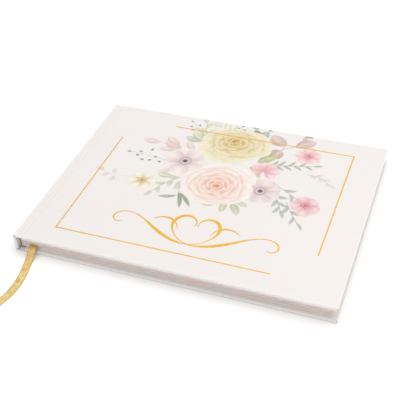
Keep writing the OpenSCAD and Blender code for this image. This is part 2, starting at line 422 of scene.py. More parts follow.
def cover_material():
    """Laminated cover paper: the print attribute, a soft gloss, and faint wear with a painted highlight
    on the edges.
    """
    if "laminated_case" in bpy.data.materials:
        return bpy.data.materials["laminated_case"]
    case = bpy.context.scene.guest_book_case
    material, tree, shader = new_material("laminated_case")
    place = add(tree, "ShaderNodeTexCoord").outputs["Object"]
    inked = add(tree, "ShaderNodeAttribute", attribute_name="print").outputs["Color"]
    paper = use_group(tree, paper_group(), {"Vector": place, "Color": inked, "Tone": 0.022,
                                            "Fibre size": 900.0, "Roughness": case.roughness})
    # Lighter rounded edges from the edge attribute: the paper's core showing through wear, and a
    # painted highlight.
    worn_and_highlit = use_group(tree, edge_wear_and_highlight_group(), {"Vector": place, "Color": paper["Color"],
                                               "Worn and highlight color": (0.93, 0.91, 0.89),
                                               "Amount": 0.45})
    finish_material(tree, shader, worn_and_highlit["Color"], paper["Roughness"], paper["Height"], 0.18, 4e-5)
    shader.inputs["Coat Weight"].default_value = 0.12
    shader.inputs["Coat Roughness"].default_value = 0.3
    shader.inputs["Specular IOR Level"].default_value = 0.35
    return material


def page_material(name, paper, edges):
    """Uncoated paper. With edges, tints of a print that bleeds off show on the leaves' cut edges."""
    if name in bpy.data.materials:
        return bpy.data.materials[name]
    material, tree, shader = new_material(name)
    place = add(tree, "ShaderNodeTexCoord").outputs["Object"]
    surface = use_group(tree, paper_group(), {"Vector": place, "Color": tuple(paper),
                                              "Tone": 0.05, "Fibre size": 2200.0,
                                              "Roughness": 0.78})
    tone = surface["Color"]
    if edges:
        _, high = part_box("section_01")
        split = add(tree, "ShaderNodeSeparateXYZ", {0: place})
        side = maths(tree, "SUBTRACT", maths(tree, "ABSOLUTE", split.outputs[1]), high[1])
        fore = maths(tree, "SUBTRACT", split.outputs[0], high[0])
        near = maths(tree, "MAXIMUM", side, fore)
        mask = remap(tree, near, -0.0010, -0.0003, 0.0, 1.0)
        flat = add(tree, "ShaderNodeMapping", {"Vector": place, "Scale": (1, 1, 22)})
        drift = noise(tree, flat.outputs[0], 34.0, 2.0)
        ramp = add(tree, "ShaderNodeValToRGB", {0: drift})
        stops = [(0.30, (0.76, 0.78, 0.72)), (0.40, (0.91, 0.87, 0.83)),
                 (0.50, (0.91, 0.82, 0.80)), (0.58, (0.94, 0.77, 0.73)),
                 (0.68, (0.90, 0.85, 0.79)), (0.78, (0.82, 0.78, 0.79))]
        band = ramp.color_ramp.elements
        band[0].position, band[0].color = stops[0][0], (*stops[0][1], 1)
        band[1].position, band[1].color = stops[-1][0], (*stops[-1][1], 1)
        for position, tint in stops[1:-1]:
            band.new(position).color = (*tint, 1)
        leaf = add(tree, "ShaderNodeMapping", {"Vector": place, "Scale": (0.02, 0.02, 1)})
        line = noise(tree, leaf.outputs[0], 9000.0, 1.0)
        shade = maths(tree, "MULTIPLY_ADD", line, 0.30, 0.83)
        tinted = add(tree, "ShaderNodeVectorMath", {0: ramp.outputs[0], 3: shade},
                     operation="SCALE").outputs[0]
        tone = blend_colour(tree, mask, tone, tinted)
    finish_material(tree, shader, tone, surface["Roughness"], surface["Height"], 0.3, 3e-5)
    shader.inputs["Sheen Weight"].default_value = 0.05
    shader.inputs["Specular IOR Level"].default_value = 0.25
    return material


def board_material():
    """Greyboard: warm grey pulp with darker and lighter fibres."""
    material, tree, shader = new_material("pulp_board")
    place = add(tree, "ShaderNodeTexCoord").outputs["Object"]
    base = bpy.context.scene.guest_book_case.board
    flecks = remap(tree, noise(tree, place, 2400.0, 4.0, 0.8), 0.5, 0.68, 0.0, 0.5)
    speckled = blend_colour(tree, flecks, tuple(base), tuple(0.45 * value for value in base))
    surface = use_group(tree, paper_group(), {"Vector": place, "Color": speckled, "Tone": 0.16,
                                              "Fibre size": 1400.0, "Roughness": 0.88})
    finish_material(tree, shader, surface["Color"], surface["Roughness"], surface["Height"],
                    0.6, 8e-5)
    return material


def foil_material():
    """Stamped gold foil: metallic, with fine pressed wrinkles and small breaks in the gloss."""
    foil = bpy.context.scene.guest_book_foil
    material, tree, shader = new_material("stamped_gold")
    place = add(tree, "ShaderNodeTexCoord").outputs["Object"]
    cloud = noise(tree, place, 300.0, 3.0)
    crinkle = noise(tree, place, 2600.0, 3.0, 0.6)
    gold = blend_colour(tree, remap(tree, cloud, 0.35, 0.65, 0.0, 1.0), tuple(foil.gold),
                        tuple(min(1.0, value * 1.12 + 0.015) for value in foil.gold))
    rough = maths(tree, "MULTIPLY_ADD", crinkle, 0.24, foil.roughness - 0.1)
    finish_material(tree, shader, gold, rough, crinkle, 0.35, 3e-5)
    shader.inputs["Metallic"].default_value = 0.55
    shader.inputs["Specular IOR Level"].default_value = 0.6
    return material


def satin_material():
    """Gold satin ribbon: woven ribs, painted sheen in lengthwise streaks and patches, painted shade
    where it leaves the pages, and a darker tone at its two selvages.
    """
    if "ribbon_satin" in bpy.data.materials:
        return bpy.data.materials["ribbon_satin"]
    ribbon = bpy.context.scene.guest_book_ribbon
    material, tree, shader = new_material("ribbon_satin")
    uv = add(tree, "ShaderNodeUVMap", uv_map="UVMap").outputs[0]
    weave = use_group(tree, satin_group(), {"UV": uv, "Warp": 21000.0, "Weft": 9000.0})
    across, along = add(tree, "ShaderNodeSeparateXYZ", {0: uv}).outputs[:2]
    edge = maths(tree, "ABSOLUTE", across)
    selvage = remap(tree, edge, 0.5 * ribbon.width - 0.0011, 0.5 * ribbon.width, 0.0, 0.75)
    tone = maths(tree, "MULTIPLY_ADD", weave["Streak"], 0.55,
                 maths(tree, "MULTIPLY", weave["Weave"], 0.55))
    # Painted sheen: the colour runs from the dark tone to the light one, where the satin catches light,
    # in lengthwise streaks and cloudy patches.
    patches = noise(tree, uv, 260.0, 3.0, 0.6)
    shine = maths(tree, "MULTIPLY_ADD", maths(tree, "SUBTRACT", patches, 0.5), 1.1, tone)
    body = blend_colour(tree, remap(tree, shine, 0.2, 0.85, 0.0, 1.0), tuple(ribbon.dark),
                        tuple(ribbon.light))
    # Painted shade: darker over the first few millimetres from where the ribbon comes out from between
    # the pages.
    painted_exit_shade = remap(tree, along, 0.001, 0.0045, 0.7, 0.0)
    selvage_and_exit_shade = blend_colour(tree, maths(tree, "MAXIMUM", selvage, painted_exit_shade), body,
                         tuple(ribbon.dark))
    rough = maths(tree, "MULTIPLY_ADD", weave["Weave"], -0.12, 0.5)
    finish_material(tree, shader, selvage_and_exit_shade, rough, weave["Height"], 0.5, 6e-5)
    shader.inputs["Sheen Weight"].default_value = 0.25
    shader.inputs["Sheen Roughness"].default_value = 0.4
    shader.inputs["Anisotropic"].default_value = 0.4
    return material


def gauze_material():
    """Spine lining: open plain-woven gauze soaked with glue."""
    material, tree, shader = new_material("lining_gauze")
    uv = add(tree, "ShaderNodeUVMap", uv_map="UVMap").outputs[0]
    split = add(tree, "ShaderNodeSeparateXYZ", {0: uv})
    threads = [maths(tree, "SINE", maths(tree, "MULTIPLY", split.outputs[axis], 7000.0))
               for axis in (0, 1)]
    cloth = maths(tree, "MAXIMUM", threads[0], threads[1])
    tone = blend_colour(tree, remap(tree, cloth, -0.2, 0.7, 0.0, 1.0), (0.42, 0.38, 0.31),
                        (0.78, 0.74, 0.67))
    rough = maths(tree, "MULTIPLY_ADD", cloth, 0.1, 0.75)
    finish_material(tree, shader, tone, rough, cloth, 0.7, 6e-5)
    return material


# ---------------------------------------------------------------- the printed bouquet

def ink(red, green, blue):
    """A print colour, given as display values from 0 to 255."""
    return np.array([red, green, blue], float) / 255


def to_linear(display):
    """Display values to scene-linear ones: the 2.4 power curve with its straight foot."""
    return np.where(display <= 0.04045, display / 12.92, ((display + 0.055) / 1.055) ** 2.4)


class Sheet:
    """Points of the cover in millimetres, x from the spine and y from the tail, and their inks.
    Each shape is a mask from a formula, and washes its colour over what lies beneath."""

    def __init__(self, x, y, paper, grain):
        self.x, self.y = x, y
        self.inks = np.tile(paper, (len(x), 1))
        self.grain = grain * (cloudy(x * 0.45, y * 0.45, 3.0) - 0.5)

    def near(self, x, y, reach):
        """Numbers of the points within reach of a place."""
        return np.flatnonzero((np.abs(self.x - x) < reach) & (np.abs(self.y - y) < reach))

    def wash(self, chosen, mask, tint):
        """Covers the chosen points with tint, by mask. Grain makes the wash uneven."""
        tint = np.clip(tint + 0.12 * self.grain[chosen][:, None], 0, 1)
        mask = np.clip(mask, 0, 1)[:, None]
        self.inks[chosen] = self.inks[chosen] * (1 - mask) + tint * mask

    def local(self, x, y, angle, reach):
        """Chosen points, and how far each is along and across a direction from a place."""
        chosen = self.near(x, y, reach)
        turn = np.radians(angle)
        dx, dy = self.x[chosen] - x, self.y[chosen] - y
        return (chosen, dx * np.cos(turn) + dy * np.sin(turn),
                dy * np.cos(turn) - dx * np.sin(turn))

    def petal(self, x, y, angle, size, wide, tip, base, point=1.5, strength=0.9, rim=0.10,
              veins=0.0, notch=0.0, bend=0.0):
        """One petal or leaf. Its half width along its length u is wide/2 * sin(pi u^point)^0.62,
        so a high point puts the widest place near the tip. Colour runs from base to tip, and the
        rim is darker, as where a wash dries."""
        chosen, along, across = self.local(x, y, angle, 1.2 * size + wide)
        u = np.clip(along / size, 1e-4, 1 - 1e-4)
        across = across - bend * size * 4 * u * (1 - u)
        outline = wide / 2 * np.sin(np.pi * u ** point) ** 0.62
        outline = outline * (1 + 0.05 * np.sin(9 * u + x))
        inside = np.minimum(outline - np.abs(across), np.minimum(along, size - along) + 0.2)
        if notch:
            inside = np.minimum(inside, size * (1 - notch) - along + np.abs(across) * 1.2)
        mask = smoothstep(-0.15, 0.55, inside)
        tint = base + (tip - base) * smoothstep(0.05, 0.8, u)[:, None]
        tint = tint + 0.05 * np.exp(-(across / (0.22 * wide)) ** 2)[:, None]
        tint = tint - rim * np.exp(-(inside / 0.5) ** 2)[:, None]
        if veins:
            tint = tint - veins * (0.5 + 0.5 * np.sin(across / wide * 44))[:, None] * (
                1 - u)[:, None]
        self.wash(chosen, mask * strength, tint)

    def leaf(self, x, y, angle, size, wide, tint, strength=0.9, bend=0.05, point=0.9):
        """A leaf: a petal pointed at both ends, one half darker, with a pale midrib."""
        self.petal(x, y, angle, size, wide, tint, tint * 0.94, point, strength, 0.07, bend=bend)
        chosen, along, across = self.local(x, y, angle, 1.2 * size)
        u = np.clip(along / size, 0, 1)
        across = across - bend * size * 4 * u * (1 - u)
        body = np.sin(np.pi * np.clip(u, 1e-4, 1 - 1e-4) ** point) ** 0.62 * wide / 2
        half = smoothstep(0, 0.35 * wide, across) * smoothstep(-0.1, 0.5, body - across)
        within = (along > 0.2) & (along < size - 0.2)
        self.wash(chosen, 0.32 * half * within * strength, tint * 0.86)
        rib = np.exp(-(across / 0.28) ** 2) * smoothstep(0, 0.15, u) * smoothstep(1, 0.8, u)
        self.wash(chosen, 0.45 * rib * within * strength, np.minimum(tint * 1.15, 1))

    def leaves(self, rows, strength=0.9, point=0.9):
        """Leaves in the order given, each as x, y, angle, size, width and tint."""
        for x, y, angle, size, wide, tint in rows:
            self.leaf(x, y, angle, size, wide, tint, strength, point=point)

    def buds(self, rows, size, wide, strength):
        """Small dark buds, each as x, y and angle."""
        for x, y, angle in rows:
            self.petal(x, y, angle, size, wide, SLATE, SLATE * 1.1, 1.0, strength, 0.05)

    def stem(self, route, tint, wide=0.5, strength=0.8):
        """A stroke along a curve: the mask falls off with the distance to the curve's samples."""
        line = spline(route, 10 * len(route))
        middle = line.mean(axis=0)
        reach = np.abs(line - middle).max() + 2 * wide
        chosen = self.near(*middle, reach)
        gap = np.full(len(chosen), 1e3)
        for a, b in zip(line[:-1], line[1:]):
            step = b - a
            place = np.stack([self.x[chosen], self.y[chosen]], -1) - a
            t = np.clip(place @ step / (step @ step), 0, 1)
            gap = np.minimum(gap, np.hypot(*(place - t[:, None] * step).T))
        self.wash(chosen, strength * smoothstep(0.9 * wide, 0.25 * wide, gap), tint)

    def dot(self, x, y, radius, tint, strength=0.9):
        """A round spot with a soft edge."""
        chosen = self.near(x, y, 1.6 * radius + 0.6)
        away = np.hypot(self.x[chosen] - x, self.y[chosen] - y)
        self.wash(chosen, strength * smoothstep(radius + 0.3, radius - 0.35, away), tint)

    def sprig(self, route, tint, size, wide, pairs):
        """A curved stem with leaves on alternate sides, 42 degrees off it, and one at its end."""
        strength, lean = 0.85, 42
        line = spline(route, 40)
        self.stem(route, tint * 0.85, 0.45, strength)
        for number in range(pairs):
            t = int(39 * (0.22 + 0.72 * number / pairs))
            ahead = line[min(t + 1, 39)] - line[t - 1]
            heading = np.degrees(np.arctan2(ahead[1], ahead[0]))
            side = 1 if number % 2 else -1
            shrink = 1 - 0.25 * number / pairs
            self.leaf(*line[t], heading + side * lean, size * shrink, wide * shrink, tint,
                      strength, bend=-0.08 * side)
        ahead = line[-1] - line[-3]
        self.leaf(*line[-1], np.degrees(np.arctan2(ahead[1], ahead[0])), size * 0.8, wide * 0.8,
                  tint, strength)

    def rose(self, x, y, radius, heart, light, deep, core, flat, turn, petals):
        """A full rose, painted from the outside in. Petal n of N is an oval set off from the middle
        by 0.5 R (1 - n/N)^0.85 at n times the golden angle, and shrinks the same way. The middle
        moves from the flower's centre to its heart. Each petal is light at its rim and deeper
        inwards, and casts a soft shadow on those below."""
        chosen = self.near(x, y, 1.3 * radius)
        for number in range(petals):
            part = 1 - number / petals
            rich = (1 - part) ** 1.25
            vary = hash_noise(number, radius, turn)
            angle = turn + 2.4 * number + 0.35 * (vary - 0.5)
            dx = self.x[chosen] - (heart[0] + (x - heart[0]) * part)
            dy = (self.y[chosen] - (heart[1] + (y - heart[1]) * part)) / (
                1 - (1 - flat) * part ** 0.5)
            along = dx * np.cos(angle) + dy * np.sin(angle) - 0.50 * radius * part ** 0.85
            across = dy * np.cos(angle) - dx * np.sin(angle)
            length = radius * (0.47 * part + 0.075) * (0.95 + 0.12 * vary)
            across = across + 0.10 * along * np.sign(vary - 0.5)
            bearing = np.arctan2(across / 1.32, along)
            ripple = 1 + 0.035 * np.sin(3 * bearing + 6 * vary) + 0.018 * np.sin(8 * bearing + 9 * vary)
            inside = (ripple - np.hypot(along, across / 1.32) / length) * length
            near_tip = smoothstep(-0.75, 0.35, along / length)
            spread = 0.10 * radius * part + 0.7
            cast = 0.34 if number > 5 else 0.08
            self.wash(chosen, cast * smoothstep(-spread, 0.0, inside) * near_tip,
                      deep + (core - deep) * rich - 0.045)
            tint = light + (deep - light) * 0.8 * rich
            shade = deep + (core - deep) * rich
            inward = smoothstep(0.10, 0.80, inside / length)[:, None]
            tint = tint + (shade - tint) * inward
            folds = np.sin(9 * bearing + 5 * vary + 0.25 * along) * np.sin(np.pi * inward[:, 0])
            tint = tint + 0.010 * folds[:, None]
            lip = np.exp(-((inside - 0.35) / 0.45) ** 2)[:, None]
            tint = tint + 0.35 * lip * (light - tint)
            self.wash(chosen, smoothstep(-0.12, 0.45, inside) * (0.4 + 0.6 * near_tip), tint)
        self.dot(*heart, 0.05 * radius, core * 0.88, 0.8)

    def blossom(self, x, y, radius, tip, base, eye, turn, count=5, wide=0.86):
        """A small open flower: notched petals round a mottled eye, with fine stamens."""
        for number in range(count):
            vary = hash_noise(number, turn, 5.0)
            angle = turn + 360 * number / count + 9 * (vary - 0.5)
            self.petal(x, y, angle, radius * (0.90 + 0.16 * vary), wide * radius,
                       tip + 0.02 * (vary - 0.5), base, 1.75, 0.88, 0.06, 0.05, 0.09)
        self.dot(x, y, 0.24 * radius, base * 0.93, 0.55)
        for number in range(11):
            angle = np.radians(turn + 360 * number / 11)
            away = radius * (0.22 + 0.14 * hash_noise(number, turn, 8.0))
            end = (x + away * np.cos(angle), y + away * np.sin(angle))
            self.stem([(x, y), ((x + end[0]) / 2, (y + end[1]) / 2), end], eye, 0.26, 0.5)
            self.dot(*end, 0.03 * radius + 0.08, eye * 0.85, 0.8)
        self.dot(x, y, 0.09 * radius, eye, 0.8)

    def anemone(self, x, y, radius, tip, base, eye, turn):
        """A wide open flower: seven veined petals, a dark button and a ring of fine stamens."""
        for number in (0, 2, 4, 6, 1, 3, 5):
            vary = hash_noise(number, turn, 2.0)
            self.petal(x, y, turn + 360 * number / 7, radius * (0.90 + 0.16 * vary),
                       0.98 * radius, tip + 0.025 * (vary - 0.5), base, 1.6, 0.84, 0.05, 0.05, 0.03)
        self.dot(x, y, 0.36 * radius, base * 0.95, 0.35)
        self.dot(x, y, 0.22 * radius, MAUVE, 0.5)
        for number in range(26):
            angle = np.radians(turn + 360 * number / 26)
            away = radius * (0.225 + 0.05 * hash_noise(number, turn, 4.0))
            self.dot(x + away * np.cos(angle), y + away * np.sin(angle), 0.016 * radius + 0.1,
                     eye, 0.75)
        self.dot(x, y, 0.135 * radius, eye * 1.2, 0.75)
        self.dot(x, y, 0.085 * radius, eye * 0.75, 0.9)


CREAM, BUTTER, OCHRE = ink(243, 235, 209), ink(228, 211, 164), ink(204, 164, 78)
SHELL, PEACH, APRICOT = ink(249, 240, 236), ink(248, 219, 203), ink(228, 158, 124)
MAUVE, DUSK, PLUM = ink(238, 224, 221), ink(218, 194, 194), ink(108, 94, 102)
PINK, ROSE_PINK, BERRY = ink(243, 206, 208), ink(228, 158, 166), ink(184, 120, 100)
SAGE, PALE_SAGE, DEEP_SAGE = ink(172, 181, 160), ink(199, 205, 184), ink(139, 150, 128)
OLIVE, PALE_OLIVE, STEEL = ink(192, 197, 150), ink(214, 214, 184), ink(176, 187, 177)
TAUPE, DEEP_TAUPE, BLUSH = ink(214, 190, 180), ink(190, 162, 150), ink(234, 212, 204)
WHITE, SLATE, BARE_PAPER = ink(250, 249, 245), ink(112, 126, 122), ink(243, 238, 235)


def paint_foliage(sheet):
    """Leaves, sprigs, berries and filler that lie behind the flowers."""
    for x, lean in ((96, 104), (99, 98), (103, 94), (107, 88), (111, 82)):
        sheet.stem([(108, 155), (x + 4, 166), (x, 177)], WHITE, 0.9, 0.8)
        sheet.leaf(x, 168, lean, 10, 3.2, PALE_OLIVE, 0.5)
    sheet.dot(106, 174, 2.6, CREAM, 0.75)
    sheet.dot(106, 174, 0.9, OCHRE, 0.45)
    sheet.sprig([(98, 150), (90, 160), (86, 172)], PALE_OLIVE, 13, 5, 3)
    sheet.stem([(92, 152), (82, 162), (76, 170)], SAGE, 0.35, 0.8)
    sheet.stem([(84, 160), (80, 162), (76, 163)], SAGE, 0.3, 0.8)
    sheet.buds([(75, 170.5, 150), (77, 164, 170), (82, 166, 110), (80, 160.5, 200)], 3.4, 1.9,
               0.85)
    sheet.stem([(118, 160), (117, 168), (115.5, 177)], SAGE, 0.4, 0.8)
    sheet.buds([(116, 175, 70), (117.5, 171, 20), (115, 172, 150), (117, 166, 30)], 3.2, 1.8, 0.8)
    sheet.stem([(128, 152), (134, 162), (138, 172)], SAGE, 0.45, 0.8)
    sheet.leaves([
        (136, 163, 78, 12, 8.5, STEEL), (133, 170, 150, 7, 5, DEEP_SAGE),
        (130, 176, 160, 6, 4, SAGE), (139, 175, 60, 5, 4, SAGE), (136, 156, 40, 9, 5, DEEP_SAGE)])
    sheet.stem([(150, 142), (156, 154), (164, 160), (169, 170), (171, 176)], DEEP_TAUPE, 0.5)
    sheet.stem([(156, 154), (156, 160), (153, 163)], DEEP_TAUPE, 0.45)
    sheet.leaves([
        (157, 159, 140, 18, 12.5, TAUPE), (165, 160, 36, 18, 11.5, TAUPE),
        (156, 141, 118, 13, 12, DEEP_TAUPE), (152, 140, 72, 13, 9, TAUPE),
        (168, 175, 8, 8, 3.4, DEEP_TAUPE), (170, 170, 100, 5, 3.6, TAUPE)], 0.88, 1.05)
    sheet.leaves([
        (92, 147, 138, 17, 7, PALE_OLIVE), (90, 146, 165, 15, 6.5, PALE_SAGE),
        (93, 152, 118, 15, 6, PALE_OLIVE)])
    sheet.stem([(88, 128), (72, 134), (58, 136)], BLUSH * 0.92, 0.5)
    sheet.leaves([
        (59, 136, 174, 16, 7, BLUSH), (75, 136, 142, 16, 8, BLUSH),
        (78, 133, 160, 17, 8, TAUPE * 1.06), (75, 132, 196, 15, 7, BLUSH),
        (88, 133, 122, 14, 6.5, BLUSH), (82, 118, 216, 13, 6, BLUSH),
        (80, 104, 206, 10, 5, BLUSH)], 0.8)
    sheet.stem([(78, 112), (66, 116), (54, 117), (42, 118)], SAGE, 0.32, 0.7)
    for x, y, angle in ((40, 118, 190), (49, 119.5, 160), (55, 123, 80), (48, 114, 150),
                        (54, 110, 170), (63, 116, 165), (68, 110.5, 150), (60, 112, 200)):
        sheet.stem([(x + 4, 116.5), (x + 1.5, (y + 116.5) / 2), (x, y)], SAGE, 0.25, 0.6)
        sheet.petal(x + 1.2, y, angle, 3.6, 2.0, SLATE * 0.9, SLATE, 1.0, 0.9, 0.05)
    sheet.stem([(62, 87), (48, 87), (36, 86), (24, 91)], BLUSH * 0.93, 0.35, 0.8)
    sheet.leaves([
        (x, y, angle, 8, 3.6, BLUSH) for x, y, angle in
        ((30, 90, 165), (36, 86, 205), (40, 87, 100), (41, 85, 262), (30, 88, 130))], 0.75)
    sheet.stem([(97, 92), (95, 84), (97, 78)], SAGE, 0.45)
    for route, tint, size, wide, pairs in (
            ([(94, 100), (84, 90), (76, 76)], PALE_OLIVE * 0.97, 10, 4.4, 4),
            ([(146, 128), (160, 133), (184, 139)], SAGE, 10.5, 3.0, 9),
            ([(160, 112), (172, 104), (182, 98)], STEEL, 11, 3.6, 3),
            ([(158, 104), (168, 94), (174, 82)], STEEL, 12, 3.8, 5),
            ([(176, 92), (182, 82), (189, 72)], STEEL, 11, 3.4, 3),
            ([(182, 128), (192, 127), (202, 120)], BLUSH, 7, 2.8, 5)):
        sheet.sprig(route, tint, size, wide, pairs)
    sheet.leaves([
        (84, 97, 178, 12, 6.5, PALE_OLIVE), (93, 93, 262, 11, 5, PALE_SAGE),
        (96, 76, 197, 14, 3.8, SAGE), (96, 80, 292, 18, 3.4, DEEP_SAGE * 1.06),
        (97, 80, 313, 19, 3.4, DEEP_SAGE * 1.06), (128, 79, 218, 13, 5, PALE_OLIVE * 0.96),
        (132, 80, 276, 13, 6, PALE_OLIVE * 0.96), (138, 79, 305, 14, 6.5, PALE_OLIVE * 0.95),
        (140, 82, 340, 11, 5, PALE_OLIVE * 0.97), (142, 132, 42, 18, 9, OLIVE),
        (138, 124, 2, 13, 7, OLIVE * 0.95), (140, 120, 328, 11, 5.5, OLIVE)])


def paint_flowers(sheet):
    """Small flowers first, then the two roses on top of them."""
    sheet.blossom(64, 86, 11, ink(244, 236, 218), ink(224, 204, 160), OCHRE * 0.92, 12, 6, 0.78)
    sheet.blossom(178, 151, 11, PINK * 1.01, ROSE_PINK * 1.03, BERRY, 24)
    sheet.blossom(190, 92, 12, PINK * 0.985, ROSE_PINK, BERRY, 50)
    for angle, size in ((200, 11), (150, 12), (100, 12), (60, 13), (20, 13), (330, 11)):
        sheet.petal(150, 122, angle, size, 0.75 * size, PINK, ROSE_PINK * 0.98, 1.6, 0.82, 0.08)
    sheet.anemone(87, 118, 17, MAUVE, DUSK, PLUM, 8)
    sheet.anemone(154, 99, 16, MAUVE * 0.99, DUSK, PLUM, 30)
    sheet.rose(118, 149, 30, (116.5, 154), CREAM, BUTTER, OCHRE, 0.80, 4.2, 19)
    sheet.rose(121.5, 97.5, 28.5, (121, 95.5), SHELL, PEACH, APRICOT, 0.94, 1.1, 24)


def print_colours(x, y):
    """Scene-linear ink at each point of the front cover, given in metres in the row frame."""
    case, inks = bpy.context.scene.guest_book_case, bpy.context.scene.guest_book_print
    low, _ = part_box("spine_cover_paper")
    paper = np.array(case.paper)
    display = np.where(paper <= 0.0031308, paper * 12.92, 1.055 * paper ** (1 / 2.4) - 0.055)
    gain = display / BARE_PAPER
    sheet = Sheet((x - low[0]) / MM, (y - low[1]) / MM, BARE_PAPER, inks.grain)
    paint_foliage(sheet)
    paint_flowers(sheet)
    drawn = BARE_PAPER + (sheet.inks - BARE_PAPER) * inks.strength
    return to_linear(np.clip(drawn * gain, 0, 1))


# ---------------------------------------------------------------- the case

def rim_profile(depth, paper, rim, radius, turn):
    """Cross section of paper wrapped over a board's edge, as (distance out, height) pairs.
    It runs over the top, round, down the wall, round, along the turn-in to its cut edge, and
    back along the inside of the paper. The rounds are quarter circles."""
    arc = np.linspace(0, np.pi / 2, 5)
    top = np.stack([rim - radius + radius * np.sin(arc), depth - radius + radius * np.cos(arc)], -1)
    low = np.stack([rim - radius + radius * np.cos(arc), radius - radius * np.sin(arc)], -1)
    cut = -(turn - rim)
    inside = [[cut, 0], [cut, paper], [rim - paper, paper], [rim - paper, depth - paper],
              [0, depth - paper]]
    return np.vstack([[[0, depth]], top, low, inside])


def ring_stations(a, b, closed):
    """Places round a rectangle's sides and the direction out at each, as two arrays. Each corner
    is met by a fan of directions. The open ring leaves out the side at the lowest a."""
    sides = [(a, np.full(len(a), b[0]), (0, -1)), (np.full(len(b), a[-1]), b, (1, 0)),
             (a[::-1], np.full(len(a), b[-1]), (0, 1))]
    if closed:
        sides.append((np.full(len(b), a[0]), b[::-1], (-1, 0)))
    places, outward = [], []
    fan = 6
    for number, (along, up, out) in enumerate(sides):
        places.append(np.stack([along, up], -1))
        outward.append(np.tile(out, (len(along), 1)))
        if number < len(sides) - 1 or closed:
            start = np.arctan2(out[1], out[0])
            turn = start + np.linspace(0, np.pi / 2, fan + 2)[1:-1]
            places.append(np.tile([along[-1], up[-1]], (fan, 1)))
            outward.append(np.stack([np.cos(turn), np.sin(turn)], -1))
    return np.vstack(places), np.vstack(outward)


def wrapped_panel(name, a, b, depth, place, turn, closed=False, tuck=(1, 1), colours=None):
    """A board's cover paper as one closed shell. Its outer face is the grid of lines a by b, and
    the rim profile is carried round the sides. Inwards of the grid's edge the profile follows
    smaller rectangles, so turn-ins meet in a mitre; tuck scales that in each direction.
    place turns (a, b, height) into points of the row frame."""
    case = bpy.context.scene.guest_book_case
    paper, rim, radius = case.paper_thickness, case.rim, case.edge_radius
    profile = rim_profile(depth, paper, rim, radius, turn)
    places, outward = ring_stations(a, b, closed)
    out, height = profile[:, 0], profile[:, 1]
    inward = np.minimum(out, 0)[None, :, None] * np.array(tuck)
    low = np.array([a[0], b[0]])
    low_limit = low[None, None, :] - inward * np.array([1 if closed else 0, 1])
    high_limit = np.array([a[-1], b[-1]])[None, None, :] + inward
    ring = places[:, None, :] + outward[:, None, :] * np.maximum(out, 0)[None, :, None]
    held = np.clip(ring, low_limit, high_limit)
    ring = np.where(out[None, :, None] < 0, held, ring)
    stations, steps = len(places), len(profile)
    rim_points = np.concatenate([ring, np.broadcast_to(height[None, :, None],
                                                       (stations, steps, 1))], -1)
    ga, gb = np.meshgrid(a, b, indexing="ij")
    face = np.stack([ga, gb, np.full_like(ga, depth)], -1).reshape(-1, 3)
    flat = np.vstack([face, rim_points.reshape(-1, 3)])
    faces = grid_quads(len(a), len(b))
    start = len(face)
    sweep = np.array(grid_quads(stations, steps, start))
    faces += sweep.tolist()
    inner = [start + k * steps + steps - 1 for k in range(stations)]
    if closed:
        faces += [[start + (stations - 1) * steps + j, start + j, start + j + 1,
                   start + (stations - 1) * steps + j + 1] for j in range(steps - 1)]
    else:
        lower = np.stack([np.full(len(b), a[0]), b, np.full(len(b), depth - paper)], -1)
        first = len(flat)
        flat = np.vstack([flat, lower])
        faces += [[k, k + 1, first + k + 1, first + k] for k in range(len(b) - 1)]
        faces += [[start + j for j in range(steps)],
                  [start + (stations - 1) * steps + j for j in range(steps)][::-1]]
        inner += [first + k for k in range(len(b) - 2, 0, -1)]
    faces.append(inner)
    points = place(flat)
    spread = np.minimum(np.minimum(flat[:, 0] - (a[0] if closed else -1), a[-1] - flat[:, 0]),
                        np.minimum(flat[:, 1] - b[0], b[-1] - flat[:, 1])) + rim
    # Nearness to the rounded edges: the mask of the lighter paper core and the painted highlight in the
    # cover material.
    edge = np.exp(-np.abs(spread - 0.3 * radius) / (0.8 * radius)) * (flat[:, 2] > 0.2 * depth)
    inks = np.tile(np.array(case.paper), (len(points), 1)) if colours is None else colours(points)
    return make_mesh(name, points, faces, colours=inks, edge=edge, sharp=0.7)


def print_lines(low, high, fine_low, fine_high, fine, coarse):
    """Grid lines from low to high, spaced fine between the two fine limits and coarse outside."""
    runs = [(low, fine_low, coarse), (fine_low, fine_high, fine), (fine_high, high, coarse)]
    lines = [np.linspace(start, stop, max(2, int(np.ceil((stop - start) / step)) + 1))[:-1]
             for start, stop, step in runs if stop - start > 1e-6]
    return np.concatenate(lines + [[high]])


